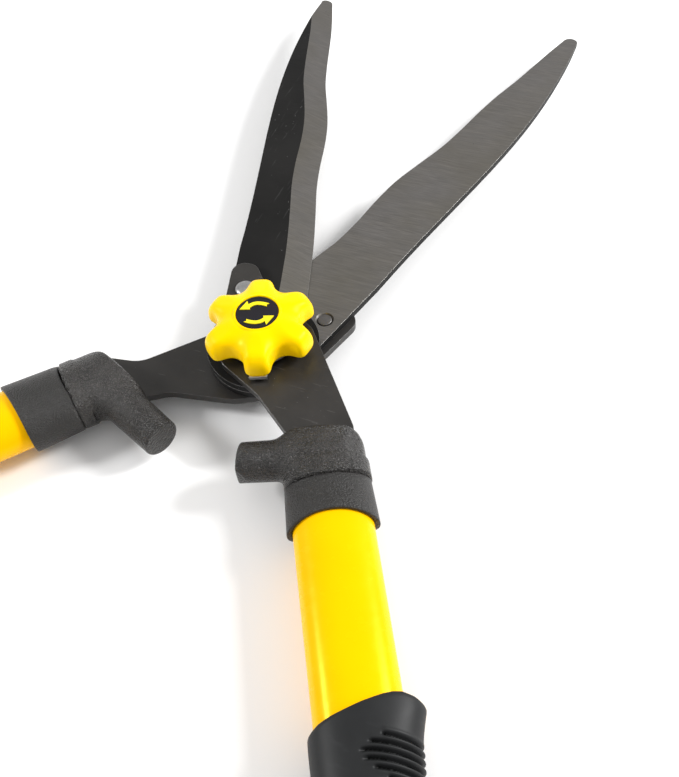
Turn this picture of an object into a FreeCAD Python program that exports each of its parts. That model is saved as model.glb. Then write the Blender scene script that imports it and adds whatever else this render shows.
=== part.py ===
import FreeCAD, Part
import math
import os

import Sketcher
from FreeCAD import Placement, Rotation, Vector

# Two-handed grass shears with wavy blades, opened by about a third of a right angle.
#
# Frame: +Z up along the pivot bolt, origin in the middle of the bolt head's flat underside.
# +Y runs between the two open blades. The blades meet on the shear plane, which is level.
# Half "a" is the upper blade with the right-hand handle, half "b" the lower blade with the
# left-hand one. Both are drawn as half "a", with Z counted from the shear plane, and half "b"
# is then turned over about Y. Their handle angles, wave phases and tang outlines differ.

os.makedirs("parts", exist_ok=True)
doc = FreeCAD.newDocument("grass_shears")

SIZES = {
    # stack on the pivot bolt, from the bottom up
    "head_thick": 5.4, "head_across": 15.0, "head_washer_thick": 1.6, "head_washer_radius": 9.5,
    "tang_thick": 3.0, "blade_thick": 3.0, "blade_gap": 0.1, "bolt_radius": 4.0, "bolt_top": 29.5,
    "bush_radius": 6.0, "running_gap": 0.05, "spring_thick": 0.7, "spring_height": 1.1,
    "spring_radius": 9.0, "spring_clear": 0.4, "washer_thick": 1.6, "washer_radius": 13.6,
    "tab_reach": 20.3, "tab_wide": 6.2, "tab_angle": -69.0, "clamp_gap": 0.05,
    # blades
    "blade_reach": 241.5, "blade_turn": 16.2, "tail_radius": 21.0, "heel_width": 13.6,
    "bevel_width": 10.6, "bevel_start": 22.0, "edge_land": 0.35,
    # rivets that hold each blade to its tang
    "rivet_side": 10.0, "rivet_station": 24.0, "rivet_shank": 2.5, "rivet_head": 3.9,
    "rivet_dome": 1.7, "rivet_sink": 1.2, "rivet_flush": 3.5,
    # handles, measured along their own axes from the foot of the perpendicular from the pivot
    "handle_angle_a": 28.4, "handle_angle_b": 41.1, "handle_offset": 16.5, "handle_level": 1.6,
    "bumper_station_a": 53.0, "bumper_station_b": 61.0, "tube_wide": 13.1, "tube_high": 8.4,
    "tube_wall": 1.2, "tube_start": 6.0, "tube_end": 300.0, "tail_wide": 7.4, "tail_length": 42.0,
    "strip_wide": 11.3,
    # bumpers: a cross bar whose end stops against the other one, and a sleeve for the tube
    "stop_radius": 51.3, "stop_angle_a": 14.9, "stop_angle_b": 20.6, "stop_gap": 0.1,
    "bar_angle": 23.0, "bar_tip": 6.9, "bar_root": 7.6, "bar_length_a": 43.5, "bar_length_b": 39.5,
    "bar_overrun": 4.0, "sleeve_wide": 14.4, "sleeve_high": 9.4, "sleeve_end": 11.5, "slot_gap": 0.1,
    "mouth_side": 1.5, "mouth_end": 1.3, "mouth_length": 22.0, "bore_end": 20.0,
    # ferrules behind the bumpers
    "ferrule_wide": 14.9, "ferrule_high": 9.7, "ferrule_start": 11.8, "ferrule_end": 27.8,
    "ferrule_scoop": 4.0, "screw_station": 17.0, "screw_shank": 1.7, "screw_head": 3.2,
    "screw_head_thick": 1.6, "screw_tip_a": 5.0, "screw_tip_b": -0.8,
    # grips
    "grip_start": 137.0, "grip_end": 306.0, "cap_thick": 4.0, "cap_wide": 15.2, "cap_high": 9.7,
    "plug_length": 16.0, "plug_clear": 0.02,
    # tension knob
    "knob_radius": 20.8, "knob_height": 11.2, "knob_rim_height": 7.2, "knob_bore": 6.5,
    "knob_foot_bevel": 1.4, "scallop_radius": 5.9, "scallop_centre": 20.2, "lobes": 6,
    "lobe_angle": -8.5, "disc_radius": 7.65, "disc_thick": 1.2, "disc_clear": 0.1, "disc_rim": 2.6,
    "arrow_thick": 0.25, "arrow_radius": 4.3, "arrow_wide": 2.2, "arrow_barb": 1.1,
    "arrow_start": 58.0, "arrow_neck": 152.0, "arrow_tip": 188.0, "insert_height": 8.2,
}

sheet = doc.addObject("Spreadsheet::Sheet", "sizes")
for row, (alias, value) in enumerate(SIZES.items(), start=1):
    sheet.set(f"A{row}", alias)
    sheet.set(f"B{row}", str(value))
    sheet.setAlias(f"B{row}", alias)
doc.recompute()


class Size:
    """A number together with the sheet expression that gives it."""

    def __init__(self, value, text):
        self.value = value
        self.text = text

    def _with(self, other, sign, value):
        text = other.text if isinstance(other, Size) else repr(float(other))
        return Size(value, f"({self.text} {sign} {text})")

    def __add__(self, other):
        return self._with(other, "+", self.value + number(other))

    def __sub__(self, other):
        return self._with(other, "-", self.value - number(other))

    def __mul__(self, other):
        return self._with(other, "*", self.value * number(other))


def number(thing):
    return thing.value if isinstance(thing, Size) else float(thing)


def size(alias):
    return Size(float(sheet.get(alias)), f"sizes.{alias}")


def const(value):
    return Size(float(value), repr(float(value)))


def bind(obj, **properties):
    """Tie properties of an object to sheet expressions."""
    for name, expression in properties.items():
        obj.setExpression(name, expression.text)


nodes = {}


def node(name, obj, placement=None):
    """Name a finished sub-part and put it in its place."""
    obj.Label = name
    if placement is not None:
        obj.Placement = placement
    nodes[name] = obj
    return obj


# ---------------------------------------------------------------- places

NOTHING = const(0)
TANG_UNDERSIDE = size("head_thick") + size("head_washer_thick")
SHEAR_PLANE = TANG_UNDERSIDE + size("tang_thick") + size("blade_thick")
HALF_STACK = size("blade_thick") + size("tang_thick")
PLACES = {
    "a": Placement(Vector(0, 0, SHEAR_PLANE.value), Rotation()),
    "b": Placement(Vector(0, 0, SHEAR_PLANE.value), Rotation(Vector(0, 1, 0), 180)),
}
BLADE_TURN = Placement(Vector(), Rotation(Vector(0, 0, 1), size("blade_turn").value))


def handle_frame(half):
    """Local Z along the handle, local X away from the other handle, local Y up in half a."""
    turn = Placement(Vector(), Rotation(Vector(0, 0, 1), size("handle_angle_" + half).value))
    corner = Vector(size("handle_offset").value, 0, size("handle_level").value)
    shift = Placement(corner, Rotation(Vector(1, 0, 0), 90))
    return turn.multiply(shift)


def on_handle(half, station, side):
    """A point level with the handle's axis, given along and beside it."""
    return handle_frame(half).multVec(Vector(side, 0, station))


# ---------------------------------------------------------------- building blocks


def cylinder(radius, height, at=NOTHING, where=Vector()):
    """A round bar along Z that starts at height `at`."""
    bar = doc.addObject("Part::Cylinder", "bar")
    bind(bar, Radius=radius, Height=height)
    bar.Placement = Placement(Vector(where.x, where.y, number(at)), Rotation())
    return bar


def ellipse(wide, high, station):
    """An oval outline across the handle at one station."""
    ring = doc.addObject("Part::Ellipse", "oval")
    bind(ring, MajorRadius=wide, MinorRadius=high)
    ring.Placement = Placement(Vector(0, 0, number(station)), Rotation())
    return ring


def oval_bar(wide, high, start, end):
    """A straight oval bar along the handle."""
    bar = doc.addObject("Part::Extrusion", "oval_bar")
    bar.Base = ellipse(wide, high, start)
    bar.DirMode = "Custom"
    bar.Dir = Vector(0, 0, 1)
    bar.Solid = True
    bind(bar, LengthFwd=end - start)
    return bar


def box(wide, high, deep, corner):
    block = doc.addObject("Part::Box", "block")
    bind(block, Length=wide, Width=high, Height=deep)
    block.Placement = Placement(corner, Rotation())
    return block


def cut(base, tool):
    result = doc.addObject("Part::Cut", "cut")
    result.Base = base
    result.Tool = tool
    return result


def fuse(*shapes):
    result = doc.addObject("Part::MultiFuse", "fused")
    result.Shapes = list(shapes)
    return result


def origin_plane(body, role):
    return next(plane for plane in body.Origin.OriginFeatures if plane.Role == role)


def turned(name, profile, placement=None):
    """A turned piece: a closed profile of (radius, height) corners revolved about Z."""
    body = doc.addObject("PartDesign::Body", "body_" + name)
    sketch = body.newObject("Sketcher::SketchObject", "profile_" + name)
    sketch.AttachmentSupport = (origin_plane(body, "XZ_Plane"), [""])
    sketch.MapMode = "FlatFace"
    corners = [Vector(radius.value, height.value, 0) for radius, height in profile]
    count = len(corners)
    for i in range(count):
        sketch.addGeometry(Part.LineSegment(corners[i], corners[(i + 1) % count]), False)
    for i, (radius, height) in enumerate(profile):
        sketch.addConstraint(Sketcher.Constraint("Coincident", i, 2, (i + 1) % count, 1))
        for kind, length in (("DistanceX", radius), ("DistanceY", height)):
            index = sketch.addConstraint(Sketcher.Constraint(kind, -1, 1, i, 1, length.value))
            sketch.setExpression(f"Constraints[{index}]", length.text)
    turn = body.newObject("PartDesign::Revolution", "turn_" + name)
    turn.Profile = sketch
    turn.ReferenceAxis = (sketch, ["V_Axis"])
    turn.Angle = 360.0
    return node(name, body, placement)


def ring(name, inner, outer, bottom, top, placement=None):
    corners = [(inner, bottom), (outer, bottom), (outer, top), (inner, top)]
    return turned(name, corners, placement)


def rounded_outline(corners):
    """Lines and arcs of a closed polygon whose corners (x, y, radius) are rounded off."""
    count = len(corners)
    starts, ends, middles = [], [], []
    for i, (x, y, radius) in enumerate(corners):
        here = Vector(x, y, 0)
        before = Vector(*corners[i - 1][:2], 0) - here
        after = Vector(*corners[(i + 1) % count][:2], 0) - here
        before.normalize()
        after.normalize()
        half_angle = before.getAngle(after) / 2
        reach = radius / math.tan(half_angle)
        bisector = (before + after).normalize()
        centre = here + bisector * (radius / math.sin(half_angle))
        starts.append(here + before * reach)
        ends.append(here + after * reach)
        middles.append(centre - bisector * radius)
    edges = []
    for i in range(count):
        edges.append(Part.Arc(starts[i], middles[i], ends[i]))
        edges.append(Part.LineSegment(ends[i], starts[(i + 1) % count]))
    return edges


def plate(name, outline, holes, thickness, placement):
    """A flat plate padded up from a sketch, with round holes of bound radius."""
    body = doc.addObject("PartDesign::Body", "body_" + name)
    sketch = body.newObject("Sketcher::SketchObject", "outline_" + name)
    sketch.AttachmentSupport = (origin_plane(body, "XY_Plane"), [""])
    sketch.MapMode = "FlatFace"
    sketch.addGeometry(outline, False)
    for centre, radius in holes:
        index = sketch.addGeometry(Part.Circle(centre, Vector(0, 0, 1), radius.value), False)
        rule = sketch.addConstraint(Sketcher.Constraint("Radius", index, radius.value))
        sketch.setExpression(f"Constraints[{rule}]", radius.text)
    pad = body.newObject("PartDesign::Pad", "pad_" + name)
    pad.Profile = sketch
    bind(pad, Length=thickness)
    return node(name, body, placement)


# ---------------------------------------------------------------- blades


# how far each wavy cutting edge stands beside the blade's axis, every 15 mm along it
EDGE_START, EDGE_STEP = 45.0, 15.0
EDGE = {
    "a": [13.2, 12.6, 11.6, 10.5, 10.5, 11.2, 10.9, 9.2, 7.1, 6.3, 6.0, 5.7, 4.8, 3.6],
    "b": [13.9, 12.1, 12.2, 13.3, 13.4, 11.6, 9.7, 9.2, 9.3, 8.8, 7.4, 6.6, 5.9, 4.8],
}


def cutting_edge(half, station):
    """The edge at any station: a smooth curve through the listed distances."""
    row = EDGE[half]
    place = (station - EDGE_START) / EDGE_STEP
    i = min(max(math.floor(place), 0), len(row) - 2)
    t = place - i
    before, here, there, after = row[max(i - 1, 0)], row[i], row[i + 1], row[min(i + 2, len(row) - 1)]
    leave, arrive = (there - before) / 2, (after - here) / 2
    rise = 3 * (there - here) - 2 * leave - arrive
    settle = 2 * (here - there) + leave + arrive
    return here + t * (leave + t * (rise + t * settle))


# the straight back of the blade, curving in to the tip: (beside, along) the blade's axis
SPINE = [(-16.6, 50.0), (-15.8, 110.0), (-15.0, 155.0), (-11.7, 190.0), (-6.4, 220.0), (-2.1, 238.4)]


def blade(half):
    """A flat blade with a round tail about the pivot and one wide, flat-ground bevel."""
    tail = size("tail_radius").value
    heel = size("heel_width").value
    spine_foot = Vector(SPINE[0][0], math.sqrt(tail ** 2 - SPINE[0][0] ** 2), 0)
    heel_foot = Vector(heel, math.sqrt(tail ** 2 - heel ** 2), 0)
    stations = [EDGE_START + 6.45 * i for i in range(31)]
    edge_points = [Vector(cutting_edge(half, y), y, 0) for y in stations]
    spine = Part.BSplineCurve()
    spine.interpolate([Vector(x, y, 0) for x, y in SPINE])
    edge = Part.BSplineCurve()
    edge.interpolate([heel_foot] + edge_points)
    tip = Vector((SPINE[-1][0] + edge_points[-1].x) / 2, size("blade_reach").value, 0)
    outline = Part.Wire([
        Part.Arc(heel_foot, Vector(0, -tail, 0), spine_foot).toShape(),
        Part.LineSegment(spine_foot, Vector(*SPINE[0], 0)).toShape(),
        spine.toShape(),
        Part.Arc(Vector(*SPINE[-1], 0), tip, edge_points[-1]).toShape(),
        edge.toShape(),
    ])
    rise = size("blade_thick").value
    skin = size("blade_gap").value / 2
    solid = Part.Face(outline).extrude(Vector(0, 0, rise - skin))
    solid.translate(Vector(0, 0, skin))
    solid = solid.cut(bevel_tool(half, rise))
    bolt_hole = size("bush_radius") if half == "a" else size("bolt_radius")
    drill = Part.makeCylinder(bolt_hole.value + size("running_gap").value, rise * 3, Vector(0, 0, -rise))
    solid = solid.cut(drill)
    rivet_at = Vector(-size("rivet_side").value, size("rivet_station").value, 0)
    solid = solid.cut(Part.makeCylinder(size("rivet_shank").value, rise * 3, rivet_at - Vector(0, 0, rise)))
    sink_deep = size("rivet_sink").value
    sink = Part.makeCone(size("rivet_flush").value, size("rivet_shank").value, sink_deep,
                         rivet_at + Vector(0, 0, skin))
    piece = doc.addObject("Part::Feature", "blade_" + half)
    piece.Shape = solid.cut(sink)
    return node("blade_" + half, piece, PLACES[half].multiply(BLADE_TURN))


def bevel_tool(half, rise):
    """The wedge that grinding takes off along the cutting edge."""
    wide = size("bevel_width").value
    land = size("edge_land").value
    fall = (rise - land) / wide
    over = 4.0
    wedges = []
    for i in range(36):
        station = size("bevel_start").value + 6.5 * i
        edge = cutting_edge(half, max(station, EDGE_START))
        corners = [
            Vector(edge - wide - over, station, rise + over * fall),
            Vector(edge + over, station, land - over * fall),
            Vector(edge + over, station, rise + over),
        ]
        wedges.append(Part.makePolygon(corners + corners[:1]))
    return Part.makeLoft(wedges, True, False)


def blade_rivet(half):
    """Flush in the blade's flat face, with a low domed head on the tang."""
    skin = size("blade_gap") * 0.5
    shank, flush, head = size("rivet_shank"), size("rivet_flush"), size("rivet_head")
    top = HALF_STACK
    dome = size("rivet_dome")
    profile = [
        (NOTHING, skin), (flush, skin), (shank, skin + size("rivet_sink")), (shank, top), (head, top),
        (head, top + dome * 0.35), (head * 0.8, top + dome * 0.75), (head * 0.45, top + dome * 0.95),
        (NOTHING, top + dome),
    ]
    at = Placement(Vector(-size("rivet_side").value, size("rivet_station").value, 0), Rotation())
    return turned("blade_rivet_" + half, profile, PLACES[half].multiply(BLADE_TURN).multiply(at))


# ---------------------------------------------------------------- tangs

# corners (x, y, radius) of each tang from its nose round to where it enters the bumper
TANG_NOSE_SIDE = {
    "a": [(-27.3, 33.2, 5.0), (-17.5, 33.5, 5.0), (-9.0, 24.0, 4.0), (15.9, 10.0, 7.0)],
    "b": [(-29.0, 28.6, 6.0), (-16.8, 30.2, 5.0), (-9.0, 23.4, 4.0), (16.4, 9.6, 7.0), (43.4, -19.0, 12.0)],
}
TANG_INNER_SIDE = {
    "a": [(9.0, -24.2, 20.0), (-9.5, -15.5, 7.0), (-16.2, -5.0, 10.0)],
    "b": [(26.0, -28.0, 12.0), (2.0, -23.6, 15.0), (-12.4, -15.8, 9.0), (-18.7, -2.6, 10.0)],
}


def tang(half):
    """The flat steel tang that carries a blade and ends as a narrow tail inside the tube."""
    bumper = size("bumper_station_" + half).value
    strip = size("strip_wide").value
    tail = size("tail_wide").value
    corner_run = [
        (bumper - 9.0, strip, 3.0), (bumper - 5.5, strip, 1.5), (bumper - 1.5, tail, 1.0),
        (bumper + size("tail_length").value, tail, 2.0),
    ]
    mirrored_run = [(station, -side, radius) for station, side, radius in reversed(corner_run)]
    inside = []
    for station, side, radius in corner_run + mirrored_run:
        point = on_handle(half, station, side)
        inside.append((point.x, point.y, radius))
    outline = rounded_outline(TANG_NOSE_SIDE[half] + inside + TANG_INNER_SIDE[half])
    bolt_hole = size("bush_radius") if half == "a" else size("bolt_radius")
    rivet_at = BLADE_TURN.multVec(Vector(-size("rivet_side").value, size("rivet_station").value, 0))
    screw_at = on_handle(half, bumper + size("screw_station").value, 0)
    holes = [
        (Vector(), bolt_hole + size("running_gap")),
        (rivet_at, size("rivet_shank")),
        (Vector(screw_at.x, screw_at.y, 0), size("screw_shank") + size("running_gap")),
    ]
    level = Placement(Vector(0, 0, size("blade_thick").value), Rotation())
    return plate("tang_" + half, outline, holes, size("tang_thick"), PLACES[half].multiply(level))


# ---------------------------------------------------------------- handles


def screw_side(half):
    """+1 where the screw enters from local +Y: it always sits on the shears' underside."""
    return 1 if half == "b" else -1


def across(half, shape, station):
    """Stand a piece drawn along Z across the handle, pointing in from the underside."""
    turn = Rotation(Vector(1, 0, 0), 90 * screw_side(half))
    shape.Placement = Placement(Vector(0, 0, station), turn).multiply(shape.Placement)
    return shape


def bumper(half):
    """The moulded cross bar and sleeve: the bar's end face stops on the other handle's bar."""
    station = size("bumper_station_" + half)
    frame = handle_frame(half)
    stop_turn = Rotation(Vector(0, 0, 1), size("stop_angle_" + half).value)
    stop = stop_turn.multVec(Vector(0, -size("stop_radius").value, size("handle_level").value))
    turn = math.radians(size("bar_angle").value)
    direction = Vector(math.cos(turn), math.sin(turn), 0)
    local = frame.inverse()
    overrun = size("bar_overrun")
    start = local.multVec(stop - direction * overrun.value)
    along = local.Rotation.multVec(direction)
    length = size("bar_length_" + half) - size("bar_root") + overrun
    bar = doc.addObject("Part::Cone", "cross_bar")
    bind(bar, Radius1=size("bar_tip"), Radius2=size("bar_root"), Height=length)
    bar.Placement = Placement(start, Rotation(Vector(0, 0, 1), along))
    knuckle = doc.addObject("Part::Sphere", "knuckle")
    bind(knuckle, Radius=size("bar_root"))
    knuckle.Placement = Placement(start + along * length.value, Rotation())
    sleeve = oval_bar(size("sleeve_wide"), size("sleeve_high"), station, station + size("sleeve_end"))
    whole = fuse(bar, knuckle, sleeve)
    # slots for the tang: full width at the mouth, then only as wide as its tail
    gap = size("slot_gap").value
    low = size("blade_thick").value - size("handle_level").value - gap
    high = size("tang_thick") + size("slot_gap") * 2
    strip = size("strip_wide").value + gap
    tail = size("tail_wide").value + gap
    beside = strip + size("mouth_side").value
    reach = size("mouth_length")
    floor = station.value - size("mouth_end").value - reach.value
    mouth = box(const(2 * beside), high, reach, Vector(-beside, low, floor))
    narrow = box(const(2 * tail), high, reach, Vector(-tail, low, station.value - 1.5))
    bore_start, bore_end = station + size("tube_start"), station + size("bore_end")
    bore = oval_bar(size("tube_wide"), size("tube_high"), bore_start, bore_end)
    opened = cut(whole, fuse(mouth, narrow, bore))
    # the stop face lies in a plane through the pivot axis, less a small gap
    beyond = doc.addObject("Part::Box", "beyond_stop")
    bind(beyond, Length=const(40.0), Width=const(60.0), Height=const(40.0))
    face = Placement(Vector(), stop_turn)
    face = face.multiply(Placement(Vector(size("stop_gap").value - 40.0, -90.0, -20.0), Rotation()))
    beyond.Placement = local.multiply(face)
    return node("bumper_" + half, cut(opened, beyond), PLACES[half].multiply(frame))


def ferrule(half):
    """The oval collar that closes the bumper onto the tube, its rim scooped top and bottom."""
    station = size("bumper_station_" + half)
    start = station + size("ferrule_start")
    end = station + size("ferrule_end")
    shell = oval_bar(size("ferrule_wide"), size("ferrule_high"), start, end)
    bore = oval_bar(size("tube_wide"), size("tube_high"), start - 1.0, end + 1.0)
    wide, deep = size("ferrule_wide").value + 0.5, size("ferrule_scoop").value
    scoop_radius = (wide ** 2 + deep ** 2) / (2 * deep)
    scoop = cylinder(const(scoop_radius), const(60.0), at=const(-30.0))
    upright = Placement(Vector(0, 0, end.value - deep + scoop_radius), Rotation(Vector(1, 0, 0), 90))
    scoop.Placement = upright.multiply(scoop.Placement)
    collar = cut(cut(cut(shell, bore), scoop), screw_drill(half))
    return node("ferrule_" + half, collar, PLACES[half].multiply(handle_frame(half)))


def screw_drill(half):
    """Clearance for the handle screw and its countersunk head."""
    gap = size("running_gap")
    reach = size("ferrule_high")
    shank = cylinder(size("screw_shank") + gap, reach, at=reach * -1.0)
    head = cylinder(size("screw_head") + gap, size("screw_head_thick") + 2.0, at=(reach + 2.0) * -1.0)
    station = (size("bumper_station_" + half) + size("screw_station")).value
    return across(half, fuse(shank, head), station)


def handle_screw(half):
    """The screw that goes through ferrule and tube and ends in the tang."""
    top = size("ferrule_high") * -1.0
    neck = top + size("screw_head_thick")
    tip = size("screw_tip_" + half)
    shank, head = size("screw_shank"), size("screw_head")
    profile = [(NOTHING, top), (head, top), (head, neck), (shank, neck), (shank, tip), (NOTHING, tip)]
    station = (size("bumper_station_" + half) + size("screw_station")).value
    turn = Rotation(Vector(1, 0, 0), 90 * screw_side(half))
    place = PLACES[half].multiply(handle_frame(half)).multiply(Placement(Vector(0, 0, station), turn))
    return turned("handle_screw_" + half, profile, place)


def tube(half):
    """The oval steel tube, hollow, drilled for the handle screw."""
    station = size("bumper_station_" + half)
    start, end = station + size("tube_start"), size("tube_end")
    wall = size("tube_wall")
    outer = oval_bar(size("tube_wide"), size("tube_high"), start, end)
    inner = oval_bar(size("tube_wide") - wall, size("tube_high") - wall, start - 1.0, end + 1.0)
    hollow = cut(cut(outer, inner), screw_drill(half))
    return node("tube_" + half, hollow, PLACES[half].multiply(handle_frame(half)))


def tube_plug(half):
    """The plug that closes the tube's open end, under the grip's cap."""
    wall = size("tube_wall") + size("plug_clear")
    end = size("tube_end")
    plug = oval_bar(size("tube_wide") - wall, size("tube_high") - wall, end - size("plug_length"), end)
    return node("tube_plug_" + half, plug, PLACES[half].multiply(handle_frame(half)))


# half width and half height of the grip along its length: (share of the length, width, height)
GRIP_SECTIONS = [
    (0.00, 15.8, 10.0), (0.03, 16.4, 10.5), (0.10, 15.6, 10.8), (0.20, 15.1, 10.9),
    (0.42, 16.0, 11.0), (0.66, 15.2, 10.9), (0.90, 17.2, 11.0), (1.00, 16.4, 10.6),
]


def grip(half):
    """The soft grip, a lofted oval with a fuller front and a flared end."""
    start, end = size("grip_start"), size("grip_end")
    loft = doc.addObject("Part::Loft", "grip_loft")
    loft.Sections = [
        ellipse(const(wide), const(high), start + (end - start) * share)
        for share, wide, high in GRIP_SECTIONS
    ]
    loft.Solid = True
    bore = oval_bar(size("tube_wide"), size("tube_high"), start - 5.0, size("tube_end"))
    return node("grip_" + half, cut(loft, bore), PLACES[half].multiply(handle_frame(half)))


def grip_cap(half):
    """The flat cap on the end of the grip."""
    end = size("grip_end")
    cap = oval_bar(size("cap_wide"), size("cap_high"), end, end + size("cap_thick"))
    return node("grip_cap_" + half, cap, PLACES[half].multiply(handle_frame(half)))


# ---------------------------------------------------------------- pivot and tension knob

TANG_TOP = SHEAR_PLANE + HALF_STACK
WASHER_UNDERSIDE = TANG_TOP + size("spring_height") + size("clamp_gap")
KNOB_UNDERSIDE = WASHER_UNDERSIDE + size("washer_thick")


def pivot_bolt():
    """A bolt with a low hexagon head, standing up through the whole stack."""
    head = doc.addObject("Part::Prism", "bolt_head")
    head.Polygon = 6
    bind(head, Circumradius=size("head_across") * 0.5774, Height=size("head_thick"))
    shank = cylinder(size("bolt_radius"), size("bolt_top"))
    return node("pivot_bolt", fuse(head, shank))


def washers():
    """The washers and the bush on the bolt; the knob's washer has a square locking tab."""
    bore = size("bolt_radius") + size("running_gap")
    head_top = size("head_thick")
    ring("head_washer", bore, size("head_washer_radius"), head_top, TANG_UNDERSIDE)
    bush_foot = SHEAR_PLANE - size("blade_gap") * 0.5
    ring("pivot_bush", bore, size("bush_radius"), bush_foot, TANG_TOP)
    thick, rise = size("spring_thick"), size("spring_height")
    spring_bore = size("bush_radius") + size("spring_clear")
    spring_edge = size("spring_radius")
    turned("spring_washer", [
        (spring_edge, TANG_TOP), (spring_edge, TANG_TOP + thick), (spring_bore, TANG_TOP + rise),
        (spring_bore, TANG_TOP + rise - thick),
    ])
    disc = cylinder(size("washer_radius"), size("washer_thick"), at=WASHER_UNDERSIDE)
    tab = box(size("tab_reach"), size("tab_wide"), size("washer_thick"), Vector())
    aside = Placement(Vector(0, -size("tab_wide").value / 2, WASHER_UNDERSIDE.value), Rotation())
    tab.Placement = Placement(Vector(), Rotation(Vector(0, 0, 1), size("tab_angle").value)).multiply(aside)
    node("flat_washer", cut(fuse(disc, tab), cylinder(bore, KNOB_UNDERSIDE)))


def knob():
    """A six-lobed hand knob: a dished disc with six scallops between its lobes."""
    top = KNOB_UNDERSIDE + size("knob_height")
    rim = KNOB_UNDERSIDE + size("knob_rim_height")
    seat = top - size("disc_thick")
    edge, bore, disc = size("knob_radius"), size("knob_bore"), size("disc_radius")
    foot, well = size("knob_foot_bevel"), disc + size("disc_clear")
    insert_top = KNOB_UNDERSIDE + size("insert_height")
    body = turned("knob", [
        (bore, KNOB_UNDERSIDE), (edge - foot, KNOB_UNDERSIDE), (edge, KNOB_UNDERSIDE + foot),
        (edge, rim - 0.6), (edge - 1.4, rim + 0.9), (edge * 0.72, rim + 2.8), (disc + size("disc_rim"), top),
        (well, top), (well, seat), (NOTHING, seat), (NOTHING, insert_top), (bore, insert_top),
    ])
    doc.recompute()
    sketch = body.newObject("Sketcher::SketchObject", "scallop_outline")
    sketch.AttachmentSupport = (origin_plane(body, "XY_Plane"), [""])
    sketch.MapMode = "FlatFace"
    pitch = 360.0 / size("lobes").value
    middle = math.radians(size("lobe_angle").value + pitch / 2)
    reach = size("scallop_centre")
    centre = Vector(math.cos(middle), math.sin(middle), 0) * reach.value
    sketch.addGeometry(Part.Circle(centre, Vector(0, 0, 1), size("scallop_radius").value), False)
    rule = sketch.addConstraint(Sketcher.Constraint("Radius", 0, size("scallop_radius").value))
    sketch.setExpression(f"Constraints[{rule}]", size("scallop_radius").text)
    for kind, share in (("DistanceX", math.cos(middle)), ("DistanceY", math.sin(middle))):
        length = reach * share
        rule = sketch.addConstraint(Sketcher.Constraint(kind, -1, 1, 0, 3, length.value))
        sketch.setExpression(f"Constraints[{rule}]", length.text)
    scallop = body.newObject("PartDesign::Pocket", "scallop")
    scallop.Profile = sketch
    scallop.Type = "ThroughAll"
    scallop.Reversed = True
    doc.recompute()
    pattern = body.newObject("PartDesign::PolarPattern", "scallops")
    pattern.Originals = [scallop]
    pattern.Axis = (sketch, ["N_Axis"])
    pattern.Angle = 360.0
    pattern.Occurrences = int(size("lobes").value)
    body.Tip = pattern
    ring("knob_insert", size("bolt_radius") + size("running_gap"), size("knob_bore"), KNOB_UNDERSIDE,
         insert_top)
    turned("knob_disc", [(NOTHING, seat), (disc, seat), (disc, top), (NOTHING, top)])


def knob_arrow(index):
    """A curved arrow that lies on the knob's disc."""
    middle, wide = size("arrow_radius").value, size("arrow_wide").value
    level = (KNOB_UNDERSIDE + size("knob_height")).value
    inner, outer = middle - wide / 2, middle + wide / 2
    barb = size("arrow_barb").value
    start, neck, tip = (math.radians(size("arrow_" + end).value) for end in ("start", "neck", "tip"))

    def at(radius, angle):
        return Vector(radius * math.cos(angle), radius * math.sin(angle), level)

    half_way = (start + neck) / 2
    edges = [
        Part.Arc(at(outer, start), at(outer, half_way), at(outer, neck)).toShape(),
        Part.LineSegment(at(outer, neck), at(outer + barb, neck)).toShape(),
        Part.LineSegment(at(outer + barb, neck), at(outer + barb, tip)).toShape(),
        Part.LineSegment(at(outer + barb, tip), at(inner - barb, neck)).toShape(),
        Part.LineSegment(at(inner - barb, neck), at(inner, neck)).toShape(),
        Part.Arc(at(inner, neck), at(inner, half_way), at(inner, start)).toShape(),
        Part.LineSegment(at(inner, start), at(outer, start)).toShape(),
    ]
    arrow = doc.addObject("Part::Feature", "arrow")
    arrow.Shape = Part.Face(Part.Wire(edges)).extrude(Vector(0, 0, size("arrow_thick").value))
    turn = Rotation(Vector(0, 0, 1), 180.0 * index)
    return node(f"knob_arrow_{index + 1}", arrow, Placement(Vector(), turn))


# ---------------------------------------------------------------- assembly

for half in ("a", "b"):
    blade(half)
    blade_rivet(half)
    tang(half)
    bumper(half)
    ferrule(half)
    handle_screw(half)
    tube(half)
    tube_plug(half)
    grip(half)
    grip_cap(half)
pivot_bolt()
washers()
knob()
for index in range(2):
    knob_arrow(index)

doc.recompute()

for obj in doc.Objects:
    if "Invalid" in obj.State or "Error" in obj.State:
        raise RuntimeError(f"{obj.Name} ({obj.Label}) did not compute: {obj.State}")
for name, obj in nodes.items():
    shape = obj.Shape
    if shape.isNull() or not shape.isValid() or shape.Volume <= 0:
        raise RuntimeError(f"{name} has no valid solid")
    if len(shape.Solids) != 1:
        raise RuntimeError(f"{name} is {len(shape.Solids)} solids")
    shape.exportStep(f"parts/{name}.step")
    print(name, round(shape.Volume, 1))
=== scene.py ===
import math

import bmesh
import bpy
import numpy as np
from mathutils import Matrix, Vector


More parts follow.
